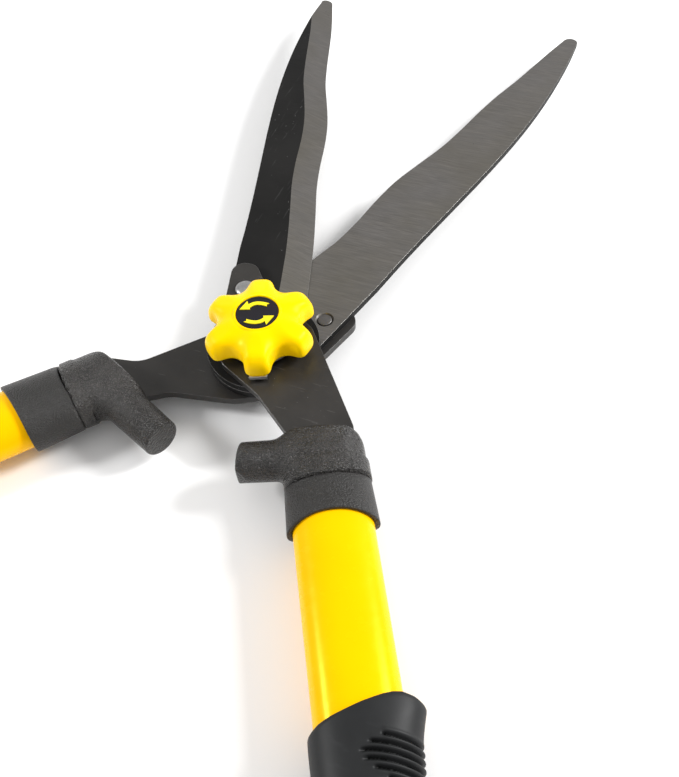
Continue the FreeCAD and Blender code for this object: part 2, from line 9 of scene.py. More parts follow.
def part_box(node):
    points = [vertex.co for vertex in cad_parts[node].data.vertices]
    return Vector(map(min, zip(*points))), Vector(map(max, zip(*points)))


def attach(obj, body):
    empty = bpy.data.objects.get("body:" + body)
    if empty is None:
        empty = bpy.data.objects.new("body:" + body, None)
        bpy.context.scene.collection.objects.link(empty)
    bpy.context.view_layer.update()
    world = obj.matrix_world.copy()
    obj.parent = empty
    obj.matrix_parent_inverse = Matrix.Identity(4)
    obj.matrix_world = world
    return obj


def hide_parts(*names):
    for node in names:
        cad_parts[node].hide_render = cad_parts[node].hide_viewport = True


# Two-handed grass shears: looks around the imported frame. Lengths are millimetres in the row frame
# unless a line says otherwise: +Z along the pivot bolt, +Y between the open blades. Half a is the
# upper blade with the right-hand handle, half b the lower blade with the left-hand one. A handle
# has axes of its own: side, away from the other handle, up, and station, along it from the pivot.

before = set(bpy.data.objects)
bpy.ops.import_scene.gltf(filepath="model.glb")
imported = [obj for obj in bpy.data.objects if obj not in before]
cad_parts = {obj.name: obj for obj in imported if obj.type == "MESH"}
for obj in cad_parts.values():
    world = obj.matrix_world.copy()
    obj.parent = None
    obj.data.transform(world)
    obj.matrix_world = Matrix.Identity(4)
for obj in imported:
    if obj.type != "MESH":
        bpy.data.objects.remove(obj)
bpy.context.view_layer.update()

scene = bpy.context.scene

MM = 0.001
HALVES = ("a", "b")
BODY = {"a": "upper_half", "b": "lower_half"}
SHEAR_PLANE = 13.0
BLADE_ANGLE = {"a": 16.2, "b": -16.2}
HANDLE_OFFSET, HANDLE_LEVEL, HANDLE_ANGLE = 16.5, 1.6, {"a": 28.4, "b": 41.1}
TUBE_WIDE, TUBE_HIGH, TUBE_WALL, TUBE_POWER, TUBE_END = 13.1, 8.4, 1.2, 2.15, 300.0
BORE_PLAY = 0.05

BUMPER_STATION = {"a": 53.0, "b": 61.0}
BAR_LENGTH, BAR_ANGLE = {"a": 43.5, "b": 39.5}, 23.0
BAR_TIP, BAR_ROOT = 6.9, 7.6
STOP_RADIUS, STOP_ANGLE = 51.3, {"a": 14.9, "b": 20.6}
BLOCK_WIDE, BLOCK_HIGH, BLOCK_POWER, BLOCK_INNER = {"a": 14.6, "b": 13.0}, 9.3, 2.4, 12.2
SLEEVE_WIDE, SLEEVE_HIGH, SLEEVE_POWER, SLEEVE_START = {"a": 14.35, "b": 13.7}, 9.45, 2.2, 4.9
SLOT_LEVEL, SLOT_HALF, SLOT_WIDE, SLOT_END, TAIL_WIDE = 2.9, 1.6, 12.9, 1.2, 7.5
# the V groove between bumper and ferrule
SEAM_WIDE, SEAM_DEEP, SEAM_SLOPE = 14.35, 0.4, 1.2

FERRULE_WIDE, FERRULE_HIGH, FERRULE_POWER = 14.4, 9.5, 2.1
FERRULE_START, FERRULE_END = {"a": 11.1, "b": 9.5}, {"a": 27.6, "b": 29.8}
FERRULE_SCOOP, FERRULE_SLANT = {"a": 3.6, "b": 1.0}, {"a": 0.0, "b": 0.14}
FERRULE_SHIFT, FERRULE_FLARE = {"a": 0.0, "b": 0.4}, 0.0027
CRESCENT_LONG, CRESCENT_SLOPE, CRESCENT_MIDDLE, CRESCENT_HALF = 4.6, 0.22, 69, 50
SCREW_STATION, SCREW_HEAD, SCREW_SHANK, SCREW_SEAT = 17.0, 3.25, 1.75, 8.1
# how far in from the ferrule's start its bore and the tube begin
BORE_START, TUBE_START = 3.6, 3.8

# ---------------------------------------------------------------- meshes


def add_mesh(name, points, faces, body, nodes, slot, sharp, finish=None):
    """A smooth mesh from points in millimetres, riding on a body in place of its CAD nodes.

    Edges that turn by more than `sharp` degrees stay sharp. It has its slot's finish or another.
    """
    mesh = bpy.data.meshes.new(name)
    mesh.from_pydata((np.asarray(points, float) * MM).tolist(), [],
                     [list(map(int, face)) for face in faces])
    mesh.validate()
    bm = bmesh.new()
    bm.from_mesh(mesh)
    bmesh.ops.recalc_face_normals(bm, faces=bm.faces)
    bm.to_mesh(mesh)
    bm.free()
    mesh.shade_smooth()
    mesh.set_sharp_from_angle(angle=math.radians(sharp))
    mesh.materials.append(MATERIALS[finish or slot])
    obj = bpy.data.objects.new(name, mesh)
    scene.collection.objects.link(obj)
    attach(obj, body)
    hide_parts(*nodes)


def loft(rings, closed=False):
    """Quads over equal rings of points; the two ends are capped, or joined when closed."""
    count, around = len(rings), len(rings[0])
    points = np.concatenate(rings)
    faces = []
    for i in range(count if closed else count - 1):
        low, high = i * around, (i + 1) % count * around
        for j in range(around):
            k = (j + 1) % around
            faces.append((low + j, low + k, high + k, high + j))
    if not closed:
        faces.append(tuple(range(around)))
        faces.append(tuple(range((count - 1) * around, count * around)))
    return points, faces


def oval_ring(wide, high, power, around=128):
    """Points (side, up) round a superellipse."""
    angle = np.linspace(0, 2 * np.pi, around, endpoint=False)
    c, s = np.cos(angle), np.sin(angle)
    return np.stack([wide * np.sign(c) * np.abs(c) ** (2 / power),
                     high * np.sign(s) * np.abs(s) ** (2 / power)], 1)


def at_station(ring, station):
    """A ring of (side, up) at one station, or at a station for each of its points."""
    station = np.broadcast_to(np.asarray(station, float), len(ring))
    return np.column_stack([ring, station])


def on_handle(half, local):
    """Handle points (side, up, station) to the row frame. Half b is half a turned over."""
    turn, sign = math.radians(HANDLE_ANGLE[half]), 1 if half == "a" else -1
    side = np.array([sign * math.cos(turn), math.sin(turn), 0])
    along = np.array([sign * math.sin(turn), -math.cos(turn), 0])
    up = np.array([0, 0, 1.0])
    origin = side * HANDLE_OFFSET + [0, 0, SHEAR_PLANE + sign * HANDLE_LEVEL]
    local = np.asarray(local, float)
    return origin + local[:, :1] * side + sign * local[:, 1:2] * up + local[:, 2:] * along


def turned(profile, around=72):
    """(radius, height) corners revolved about Z; ends on the axis are closed."""
    angle = np.linspace(0, 2 * np.pi, around, endpoint=False)
    points, rows = [], []
    for radius, height in profile:
        if radius == 0:
            rows.append([len(points)] * around)
            points.append((0.0, 0.0, height))
        else:
            rows.append(list(range(len(points), len(points) + around)))
            points += [(radius * math.cos(a), radius * math.sin(a), height) for a in angle]
    faces = []
    for low, high in zip(rows, rows[1:]):
        for j in range(around):
            k = (j + 1) % around
            faces.append(tuple(dict.fromkeys((low[j], low[k], high[k], high[j]))))
    return np.array(points), faces


# ---------------------------------------------------------------- distance fields


def smooth_min(a, b, blend):
    h = np.clip(0.5 + 0.5 * (b - a) / blend, 0, 1)
    return b * (1 - h) + a * h - blend * h * (1 - h)


def smooth_max(a, b, blend):
    return -smooth_min(-a, -b, blend)


def oval_field(x, y, wide, high, power):
    """About the distance out of a superellipse."""
    share = (np.abs(x / wide) ** power + np.abs(y / high) ** power) ** (1 / power)
    return (share - 1) * min(wide, high)


def surface_net(field, low, high, step):
    """A quad mesh of the surface where the field is nought, one point in each cell it crosses."""
    axes = [np.arange(a, b + step, step) for a, b in zip(low, high)]
    grid = field(*np.meshgrid(*axes, indexing="ij"))
    shape = tuple(n - 1 for n in grid.shape)
    # the mean of where the surface crosses a cell's edges is the cell's point
    total, hits = np.zeros(shape + (3,)), np.zeros(shape)
    for axis in range(3):
        for u in (0, 1):
            for v in (0, 1):
                near = [u, v]
                near.insert(axis, 0)
                far = list(near)
                far[axis] = 1
                a, b = (grid[tuple(slice(o, o + n) for o, n in zip(at, shape))]
                        for at in (near, far))
                crossing = (a < 0) != (b < 0)
                share = np.where(crossing, a / np.where(crossing, a - b, 1), 0)
                hits += crossing
                for i in range(3):
                    total[..., i] += crossing * (near[i] + (share if i == axis else 0))
    active = hits > 0
    index = np.full(shape, -1)
    index[active] = np.arange(active.sum())
    points = np.array(low) + step * (np.argwhere(active) + total[active] / hits[active][:, None])
    # each edge that crosses the surface joins the points of its four cells
    inside, quads = grid < 0, []
    for axis in range(3):
        first, second = (i for i in range(3) if i != axis)
        ends = [[slice(1, -1)] * 3, [slice(1, -1)] * 3]
        ends[0][axis], ends[1][axis] = slice(0, -1), slice(1, None)
        cells = np.argwhere(inside[tuple(ends[0])] != inside[tuple(ends[1])])
        cells += [0 if i == axis else 1 for i in range(3)]
        ring = []
        for u, v in ((1, 1), (0, 1), (0, 0), (1, 0)):
            at = cells.copy()
            at[:, first] -= u
            at[:, second] -= v
            ring.append(index[at[:, 0], at[:, 1], at[:, 2]])
        quads.append(np.stack(ring, 1))
    # then the points are drawn on to the surface along the field's slope
    probe, passes, furthest = 0.02, 3, 0.4 * step
    for _ in range(passes):
        value = field(*points.T)
        slope = np.stack([(field(*(points + d).T) - field(*(points - d).T)) / (2 * probe)
                          for d in probe * np.eye(3)], 1)
        move = value[:, None] * slope / np.maximum((slope ** 2).sum(1), 0.05)[:, None]
        points -= np.clip(move, -furthest, furthest)
    return points, np.concatenate(quads)


# ---------------------------------------------------------------- materials


class Finish:
    """A material and short ways to wire its nodes. Scales are per metre, distances metres."""

    def __init__(self, name, **values):
        self.material = bpy.data.materials.new(name)
        self.material.use_nodes = True
        self.tree = self.material.node_tree
        self.shader = self.tree.nodes["Principled BSDF"]
        self.place = self.node("ShaderNodeTexCoord").outputs["Object"]
        for key, value in values.items():
            self.shader.inputs[key.replace("_", " ")].default_value = value

    def node(self, kind, **settings):
        made = self.tree.nodes.new(kind)
        for key, value in settings.items():
            setattr(made, key, value)
        return made

    def put(self, made, **inputs):
        """Sockets by name, with _ for a space, or by number as i0, i1 and so on."""
        for key, value in inputs.items():
            numbered = key[0] == "i" and key[1:].isdigit()
            socket = made.inputs[int(key[1:]) if numbered else key.replace("_", " ")]
            if isinstance(value, bpy.types.NodeSocket):
                self.tree.links.new(value, socket)
            else:
                socket.default_value = value

    def set(self, **inputs):
        self.put(self.shader, **inputs)

    def mapped(self, scale, turn):
        """The place stretched by a scale for each axis, after a turn about Z in degrees."""
        made = self.node("ShaderNodeMapping")
        self.put(made, Vector=self.place, Rotation=(0, 0, math.radians(turn)), Scale=scale)
        return made.outputs[0]

    def noise(self, scale, detail, roughness=0.5, vector=None):
        made = self.node("ShaderNodeTexNoise")
        self.put(made, Vector=vector or self.place, Scale=scale, Detail=detail,
                 Roughness=roughness)
        return made.outputs[0]

    def streaks(self, scale, turn, detail, roughness):
        """Noise drawn out into lines."""
        return self.noise(1, detail, roughness, self.mapped(scale, turn))

    def cells(self, scale, feature="F1"):
        made = self.node("ShaderNodeTexVoronoi", feature=feature)
        self.put(made, Vector=self.place, Scale=scale)
        return made.outputs["Distance"]

    def math(self, operation, a, b=0.0):
        made = self.node("ShaderNodeMath", operation=operation)
        self.put(made, i0=a, i1=b)
        return made.outputs[0]

    def times(self, a, b):
        return self.math("MULTIPLY", a, b)

    def range(self, value, low, high, to_low=0.0, to_high=1.0):
        made = self.node("ShaderNodeMapRange")
        self.put(made, Value=value, From_Min=low, From_Max=high, To_Min=to_low, To_Max=to_high)
        return made.outputs[0]

    def specks(self, scale, size, patches, detail, thin, dense):
        """Dots in patches, full within size[1] of a cell's middle and gone past size[0]."""
        dots = self.range(self.cells(scale), *size)
        return self.times(dots, self.range(self.noise(patches, detail), thin, dense))

    def mix(self, share, a, b):
        made = self.node("ShaderNodeMix", data_type="RGBA")
        self.put(made, i0=share, i6=a, i7=b)
        return made.outputs[2]

    def bump(self, height, strength, distance, normal=None):
        made = self.node("ShaderNodeBump")
        self.put(made, Height=height, Strength=strength, Distance=distance)
        if normal is not None:
            self.put(made, Normal=normal)
        return made.outputs[0]

    def crevice_shade(self, reach):
        """Painted shade mask from ambient occlusion: nought deep in grooves, one on open surfaces.
        """
        made = self.node("ShaderNodeAmbientOcclusion", samples=8, only_local=True)
        self.put(made, Distance=reach)
        return self.range(made.outputs["AO"], 0.3, 0.8)

    def rounded(self, radius):
        """The normal as if every edge were rounded, and a mask of where it is."""
        made = self.node("ShaderNodeBevel", samples=6)
        self.put(made, Radius=radius)
        dot = self.node("ShaderNodeVectorMath", operation="DOT_PRODUCT")
        self.put(dot, i0=made.outputs[0], i1=self.node("ShaderNodeNewGeometry").outputs["Normal"])
        return made.outputs[0], self.range(dot.outputs["Value"], 0.995, 0.8)


def grey(value, warm=0.0):
    return (value * (1 + warm), value, value * (1 - warm), 1)


def times(colour, share):
    return tuple(c * share for c in colour[:3]) + (1,)


def yellow_finish(name, colour, shade, roughness, grain):
    """Glossy yellow, a little uneven and dusty, with an orange-peel surface."""
    f = Finish(name, IOR=1.5, Specular_IOR_Level=0.35, Specular_Tint=(1.0, 0.82, 0.06, 1))
    patch = f.range(f.noise(55, 2), 0.35, 0.7)
    dust = f.specks(900, (0.05, 0.02), 160, 1, 0.6, 0.64)
    tone = f.mix(patch, colour, shade)
    f.set(Base_Color=f.mix(f.times(dust, 0.4), tone, (0.35, 0.28, 0.05, 1)))
    f.set(Roughness=f.range(f.noise(240, 4), 0.3, 0.7, roughness * 0.8, roughness * 1.25))
    f.set(Normal=f.bump(f.noise(grain, 2), 0.12, 0.00012))
    return f.material


def pebbled_finish(name, colour, light, roughness, pebble, strength, gloss):
    """Moulded charcoal plastic with a pebbled grain whose raised tops are glossier and painted
    lighter as a painted highlight.
    """
    f = Finish(name, IOR=1.5, Specular_IOR_Level=gloss)
    cell = f.cells(pebble, "SMOOTH_F1")
    fine = f.noise(pebble * 2.3, 3, 0.6)
    height = f.math("ADD", f.times(cell, -1.1), f.times(fine, 0.7))
    worn = f.range(f.noise(70, 4, 0.6), 0.42, 0.66)
    # painted highlight: the grain's raised tops take the lighter colour
    tone = f.mix(f.range(fine, 0.52, 0.66), colour, light)
    f.set(Base_Color=f.mix(f.times(worn, 0.2), tone, light))
    f.set(Roughness=f.range(fine, 0.3, 0.7, roughness * 1.2, roughness * 0.75))
    f.set(Normal=f.bump(height, strength, 0.0004))
    return f.material


def painted_steel(name, colour, roughness):
    """Black painted plate: satin, dusty, scratched, with edges painted lighter and metallic, partly
    bare worn edges and partly a painted edge highlight.
    """
    f = Finish(name, IOR=1.5, Specular_IOR_Level=0.45)
    rounded, edge = f.rounded(0.0004)
    specks = f.specks(620, (0.09, 0.04), 120, 2, 0.55, 0.62)
    scratch = f.range(f.streaks((90, 1500, 900), 31, 2, 0.5), 0.69, 0.73)
    marks = f.math("MAXIMUM", f.times(specks, 0.5), f.times(scratch, 0.12))
    cloud = f.noise(48, 5, 0.6)
    tone = f.mix(f.range(cloud, 0.35, 0.7), colour, times(colour, 1.7))
    # edges lighter and metallic: partly worn bare steel, partly a painted edge highlight
    edge_wear_and_glint = f.times(edge, f.range(f.noise(420, 3), 0.35, 0.6, 0.3, 0.9))
    tone = f.mix(marks, tone, grey(0.3, 0.03))
    f.set(Base_Color=f.mix(edge_wear_and_glint, tone, grey(0.16, 0.03)), Metallic=f.times(edge_wear_and_glint, 0.7))
    f.set(Roughness=f.range(cloud, 0.3, 0.75, roughness * 0.85, roughness * 1.3))
    f.set(Normal=f.bump(f.noise(1300, 3), 0.18, 0.00008, rounded))
    return f.material


def blade_finish(name, half):
    """Steel ground across on the bevel and flat face; the rest keeps its black coating."""
    f = Finish(name, IOR=1.8, Specular_IOR_Level=0.06)
    rounded, edge = f.rounded(0.00025)
    turn = -BLADE_ANGLE[half]
    lines = f.streaks((130, 3600, 200), turn, 3, 0.6)
    broad = f.streaks((60, 420, 100), turn + 4, 3, 0.55)
    cloud = f.noise(26, 4, 0.55)
    ground = f.mix(f.range(lines, 0.3, 0.7), grey(0.15, 0.055), grey(0.25, 0.06))
    ground = f.mix(f.range(broad, 0.35, 0.75, 0, 0.6), ground, grey(0.18, 0.03))
    ground = f.mix(f.range(cloud, 0.4, 0.75, 0, 0.5), ground, (0.165, 0.15, 0.112, 1))
    pits = f.specks(240, (0.06, 0.03), 70, 1, 0.58, 0.62)
    ground = f.mix(f.times(pits, 0.7), ground, grey(0.03))
    # the coating shows where the blade's outer face is level, and round its rim
    normal = f.node("ShaderNodeSeparateXYZ")
    f.put(normal, Vector=f.node("ShaderNodeNewGeometry").outputs["Normal"])
    up = f.times(normal.outputs["Z"], 1.0 if half == "a" else -1.0)
    level = f.range(up, 0.985, 0.995)
    rim = f.range(f.math("ABSOLUTE", up), 0.6, 0.4)
    coated = f.math("MAXIMUM", level, rim)
    specks = f.specks(520, (0.085, 0.04), 80, 2, 0.53, 0.6)
    scratch = f.range(f.streaks((1400, 70, 900), turn + 8, 2, 0.5), 0.68, 0.74)
    marks = f.math("MAXIMUM", f.times(specks, 0.75), f.times(scratch, 0.04))
    coat = f.mix(f.range(cloud, 0.35, 0.7), grey(0.006, 0.03), grey(0.012, 0.04))
    coat = f.mix(marks, coat, grey(0.4))
    tone = f.mix(coated, ground, coat)
    # painted highlight: a lighter grey along every rounded edge of the blade
    painted_edge_glint = f.times(edge, f.range(f.noise(260, 3), 0.35, 0.65, 0.35, 1.0))
    f.set(Base_Color=f.mix(painted_edge_glint, tone, grey(0.38, 0.02)))
    f.set(Metallic=f.range(coated, 0, 1, 0.92, 0.0))
    f.set(Roughness=f.math("ADD", f.range(lines, 0.3, 0.7, 0.34, 0.48), f.times(coated, 0.08)))
    f.set(Normal=f.bump(lines, 0.14, 0.00006, rounded))
    return f.material


def bare_metal(name, colour, roughness):
    """Uncoated metal with faint lines, duller in patches, with a painted highlight along its edges.
    """
    f = Finish(name, IOR=1.8)
    rounded, edge = f.rounded(0.0003)
    lines = f.streaks((300, 2600, 2600), 0.0, 3, 0.6)
    cloud = f.noise(180, 4, 0.6)
    tone = f.mix(f.range(cloud, 0.35, 0.7), colour, times(colour, 0.62))
    # painted highlight: edges mixed towards light grey
    f.set(Base_Color=f.mix(f.times(edge, 0.5), tone, grey(0.75)))
    f.set(Metallic=f.range(cloud, 0.2, 0.8, 1.0, 0.9))
    f.set(Roughness=f.range(lines, 0.3, 0.7, roughness * 0.8, roughness * 1.3))
    f.set(Normal=f.bump(lines, 0.1, 0.00005, rounded))
    return f.material


def satin_plastic(name, colour, light, roughness):
    """Soft or hard dark plastic with a fine even grain, handling marks and painted shade in its
    grooves.
    """
    f = Finish(name, IOR=1.47, Specular_IOR_Level=0.22)
    cloud = f.noise(38, 4, 0.6)
    fine = f.noise(1500, 3, 0.6)
    smear = f.range(f.streaks((120, 420, 300), 40, 3, 0.5), 0.6, 0.75)
    tone = f.mix(f.range(cloud, 0.35, 0.7), colour, light)
    tone = f.mix(f.times(smear, 0.25), tone, times(light, 1.6))
    # painted shade: grooves and creases take a near-black colour where ambient occlusion is deep
    f.set(Base_Color=f.mix(f.crevice_shade(0.0008), grey(0.003), tone))
    f.set(Roughness=f.range(cloud, 0.3, 0.7, roughness * 0.9, roughness * 1.15))
    f.set(Normal=f.bump(fine, 0.22, 0.00006))
    return f.material


LOOKS = {
    "blade_a": (blade_finish, "a"),
    "blade_b": (blade_finish, "b"),
    "rivet_steel": (bare_metal, grey(0.52, 0.01), 0.3),
    "rivet_ground": (bare_metal, grey(0.17, 0.05), 0.45),
    "tang_paint": (painted_steel, grey(0.015, 0.1), 0.34),
    "bumper_plastic": (pebbled_finish, grey(0.007, 0.1), grey(0.07, 0.08), 0.22, 1250, 1.0, 0.42),
    "ferrule_plastic":
        (pebbled_finish, grey(0.015, 0.07), grey(0.044, 0.05), 0.38, 1900, 0.7, 0.34),
    "screw_steel": (bare_metal, grey(0.4), 0.35),
    "tube_paint": (yellow_finish, (1.0, 0.53, 0.0, 1), (0.99, 0.50, 0.0, 1), 0.24, 420),
    "plug_plastic": (satin_plastic, grey(0.02), grey(0.03), 0.5),
    "grip_rubber": (satin_plastic, grey(0.013, -0.04), grey(0.02, -0.04), 0.5),
    "cap_plastic": (satin_plastic, grey(0.02), grey(0.03), 0.42),
    "bolt_steel": (bare_metal, grey(0.45, 0.02), 0.35),
    "washer_steel": (bare_metal, grey(0.85, 0.01), 0.35),
    "knob_plastic": (yellow_finish, (1.0, 0.65, 0.0, 1), (0.99, 0.61, 0.0, 1), 0.34, 700),
    "insert_brass": (bare_metal, (0.6, 0.42, 0.16, 1), 0.35),
    "disc_plastic": (satin_plastic, (0.012, 0.011, 0.014, 1), (0.02, 0.018, 0.022, 1), 0.36),
    "arrow_plastic": (yellow_finish, (0.9, 0.76, 0.02, 1), (0.8, 0.66, 0.02, 1), 0.42, 900),
}
MATERIALS = {name: make(name, *values) for name, (make, *values) in LOOKS.items()}

KEPT_NODES = {
    "blade_a": "blade_a", "blade_b": "blade_b",
    "tang_a": "tang_paint", "tang_b": "tang_paint",
    "handle_screw_a": "screw_steel", "handle_screw_b": "screw_steel",
    "tube_plug_a": "plug_plastic", "tube_plug_b": "plug_plastic",
    "pivot_bolt": "bolt_steel", "pivot_bush": "bolt_steel",
    "head_washer": "washer_steel", "spring_washer": "washer_steel",
    "flat_washer": "washer_steel", "knob_insert": "insert_brass",
}
for node, finish in KEPT_NODES.items():
    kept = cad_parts[node]
    kept.data.materials.clear()
    kept.data.materials.append(MATERIALS[finish])

# ---------------------------------------------------------------- bumpers and ferrules


def seam_field(half, x, y, wide, high, power, inward):
    """Outside the V groove that both mouldings are chamfered to, `inward` from the seam."""
    oval = oval_field(x + FERRULE_SHIFT[half], y, wide, high, power)
    return oval + SEAM_DEEP - SEAM_SLOPE * inward


def bumper_field(half):
    """Cross bar, flat-topped block and sleeve as one moulding, cut off at the stop face."""
    station = BUMPER_STATION[half]
    seam = station + FERRULE_START[half] - 0.02
    turn = math.radians(HANDLE_ANGLE[half])
    c, s = math.cos(turn), math.sin(turn)

    def to_local(x, y):
        """A flat vector of half a's drawing, as (side, station)."""
        return np.array([c * x + s * y, s * x - c * y])

    bar_turn, aim = math.radians(BAR_ANGLE), math.radians(STOP_ANGLE[half])
    start = to_local(STOP_RADIUS * math.sin(aim), -STOP_RADIUS * math.cos(aim))
    start = start - [HANDLE_OFFSET, 0]
    axis = to_local(math.cos(bar_turn), math.sin(bar_turn))
    front = np.array([axis[1], -axis[0]])
    pivot = np.array([-HANDLE_OFFSET, 0.0])
    reach = (start - pivot) / np.linalg.norm(start - pivot)
    outward = np.array([-reach[1], reach[0]])

    def field(x, y, z):
        u, w = x - start[0], z - start[1]
        along = u * axis[0] + w * axis[1]
        across = u * front[0] + w * front[1]
        radius = BAR_TIP + (BAR_ROOT - BAR_TIP) * along / BAR_LENGTH[half]
        bar = np.sqrt(across ** 2 + y ** 2 + 1e-9) - radius
        bar = smooth_max(bar, along - (BAR_LENGTH[half] - 9.0), blend=2.0)
        flat = smooth_max(across - BAR_ROOT, x - BLOCK_WIDE[half] + 0.3, blend=6.5)
        flat = smooth_max(flat, z - seam, blend=0.6)
        flat = smooth_max(flat, -BLOCK_INNER - x, blend=4.0)
        oval = oval_field(x, y, BLOCK_WIDE[half], BLOCK_HIGH, BLOCK_POWER)
        block = smooth_max(flat, oval, blend=1.4)
        sleeve = oval_field(x + FERRULE_SHIFT[half], y, SLEEVE_WIDE[half], SLEEVE_HIGH,
                            SLEEVE_POWER)
        ends = np.maximum(station + SLEEVE_START - z, z - seam)
        sleeve = smooth_max(sleeve, ends, blend=0.3)
        whole = smooth_min(smooth_min(bar, block, blend=5.0), sleeve, blend=1.8)
        groove = seam_field(half, x, y, SEAM_WIDE, SLEEVE_HIGH, SLEEVE_POWER, seam - z)
        whole = np.maximum(whole, groove)
        stop = (x - pivot[0]) * outward[0] + z * outward[1] + 0.1
        whole = smooth_max(whole, stop, blend=0.7)
        # the tang goes in through a wide slot, and its tail through a narrower one
        thick = np.abs(y - SLOT_LEVEL) - SLOT_HALF
        slot = np.maximum(thick, np.maximum(np.abs(x) - SLOT_WIDE, z - (station - SLOT_END)))
        tail = np.maximum(thick, np.abs(x) - TAIL_WIDE)
        return np.maximum(whole, -np.minimum(slot, tail))

    return field


def ferrule_field(half):
    """Oval collar: rim scooped towards the tube, crescent facet at the front edge, screw hole."""
    station, deep = BUMPER_STATION[half], FERRULE_SCOOP[half]
    start, end = station + FERRULE_START[half], station + FERRULE_END[half]
    wide = FERRULE_WIDE + 0.8
    scoop = (wide ** 2 + deep ** 2) / (2 * deep)
    # the screw comes from below, so from the other side of the turned-over moulding
    below = 1 if half == "b" else -1

    def field(x, y, z):
        flare = 1 + FERRULE_FLARE * (z - start)
        u = x + FERRULE_SHIFT[half]
        outer = oval_field(u / flare, y / flare, FERRULE_WIDE, FERRULE_HIGH, FERRULE_POWER)
        outer = smooth_max(outer, start - z, blend=0.3)
        rim = z - FERRULE_SLANT[half] * x - (end - deep + scoop)
        outer = smooth_max(outer, scoop - np.sqrt(x ** 2 + rim ** 2), blend=0.7)
        angle = np.degrees(np.arctan2(-y / FERRULE_HIGH, x / FERRULE_WIDE))
        share = ((angle - CRESCENT_MIDDLE) / CRESCENT_HALF) ** 2
        crescent = CRESCENT_LONG * np.clip(1 - share, 0, 1)
        outer = outer + CRESCENT_SLOPE * np.maximum(crescent - (z - start), 0)
        groove = seam_field(half, x, y, FERRULE_WIDE, FERRULE_HIGH, FERRULE_POWER, z - start)
        outer = np.maximum(outer, groove)
        bore = oval_field(x, y, TUBE_WIDE + BORE_PLAY, TUBE_HIGH + BORE_PLAY, TUBE_POWER)
        bore = np.maximum(bore, start + BORE_START - z)
        screw = np.sqrt(x ** 2 + (z - station - SCREW_STATION) ** 2)
        head = np.maximum(screw - SCREW_HEAD, SCREW_SEAT - below * y)
        shank = np.maximum(screw - SCREW_SHANK, -below * y)
        return np.maximum(outer, -np.minimum(bore, np.minimum(head, shank)))

    return field


BUMPER_INNER = {"a": -36.0, "b": -46.0}
BUMPER_CELL, FERRULE_CELL = 0.42, 0.5
for half in HALVES:
    station = BUMPER_STATION[half]
    points, faces = surface_net(bumper_field(half), (BUMPER_INNER[half], -11.5, station - 20.0),
                                (16.0, 11.5, station + 13.0), BUMPER_CELL)
    add_mesh("bumper_shell_" + half, on_handle(half, points), faces, BODY[half],
             ["bumper_" + half], "bumper_plastic", 50)
    start, end = station + FERRULE_START[half], station + FERRULE_END[half]
    points, faces = surface_net(ferrule_field(half), (-16.6, -12.4, start - 1.6),
                                (16.6, 12.4, end + 1.4), FERRULE_CELL)
    add_mesh("ferrule_shell_" + half, on_handle(half, points), faces, BODY[half],
             ["ferrule_" + half], "ferrule_plastic", 50)

# ---------------------------------------------------------------- tubes

for half in HALVES:
    start = BUMPER_STATION[half] + FERRULE_START[half] + TUBE_START
    outer = oval_ring(TUBE_WIDE, TUBE_HIGH, TUBE_POWER)
    inner = oval_ring(TUBE_WIDE - TUBE_WALL, TUBE_HIGH - TUBE_WALL, TUBE_POWER)
    stations = np.linspace(start, TUBE_END, 60)
    rings = [at_station(outer, s) for s in stations]
    rings += [at_station(inner, s) for s in stations[::-1]]
    points, faces = loft(rings, closed=True)
    add_mesh("tube_shell_" + half, on_handle(half, points), faces, BODY[half],
             ["tube_" + half], "tube_paint", 50)

# ---------------------------------------------------------------- grips

GRIP_END, GRIP_POWER, GRIP_AROUND = 306.0, 2.25, 272
# (station, outer half width, inner half width, half height)
GRIP_PROFILE = np.array([
    (133.0, 18.4, 14.6, 10.0), (136.4, 18.8, 14.7, 10.3), (139.0, 18.6, 14.8, 10.5),
    (142.0, 17.6, 14.9, 10.7), (145.0, 16.7, 15.0, 10.8), (148.6, 15.9, 15.0, 10.8),
    (156.0, 15.1, 14.9, 10.9), (178.0, 15.6, 15.3, 11.0), (200.0, 16.1, 15.6, 11.0),
    (222.0, 15.4, 15.2, 10.9), (244.0, 15.2, 15.0, 10.9), (266.0, 15.9, 15.6, 11.0),
    (288.0, 17.2, 16.6, 11.0), (299.0, 17.4, 17.0, 11.0), (306.0, 16.4, 16.0, 10.6),
])
# where the slanted front rim lies, by how far beside the axis
RIM_SIDES = (-16.0, -15.0, -12.0, -8.0, 1.5, 8.0, 10.5, 13.0, 16.0, 18.8)
RIM_STATIONS = (142.3, 141.4, 139.8, 138.5, 136.0, 134.7, 134.4, 134.5, 135.7, 137.7)
RIM_OUTER, RIM_INNER = 18.8, 15.2
# rows of points behind the rim, and their steps outside and inside the ribbed patches
RIM_RUNS = (0.0, 0.15, 0.5, 1.0, 1.7, 2.6, 3.6)
RUN_START, RUN_LENGTH, RUN_ORIGIN, PLAIN_STEP, FINE_STEP = 4.2, 171.0, 137.0, 1.3, 0.23
PATCHES, PATCH_MIDDLE, PATCH_REACH = (147.6, 203.0, 259.0), 8.5, 12.0
# half angle that each groove of a patch reaches round from the outer side, in degrees
GROOVE_REACH, GROOVE_FADE = (75.0, 87.0, 94.0, 92.0, 85.0, 73.0, 57.0), 5.0
GROOVE_PITCH, GROOVE_DEPTH, GROOVE_WIDE, GROOVE_POWER = 2.12, 1.25, 0.46, 2.6
GROOVE_BOW, GROOVE_BOW_POWER = 4.6, 1.4
# how far in from each end the sleeve rolls over on to the tube, and how deep
RIM_ROLL, END_ROLL, GRIP_LENGTH = (1.2, 0.8), (2.0, 1.2), 165.0
# the ridge beside each groove, its place and width in groove widths
RIDGE_HIGH, RIDGE_PLACE, RIDGE_WIDE = 0.2, 2.5, 1.2


def rolled(run, reach, depth):
    """How far the surface has sunk at a run from an edge that rolls over."""
    return depth * (1 - math.sqrt(max(0.0, 1 - (1 - min(run / reach, 1.0)) ** 2)))


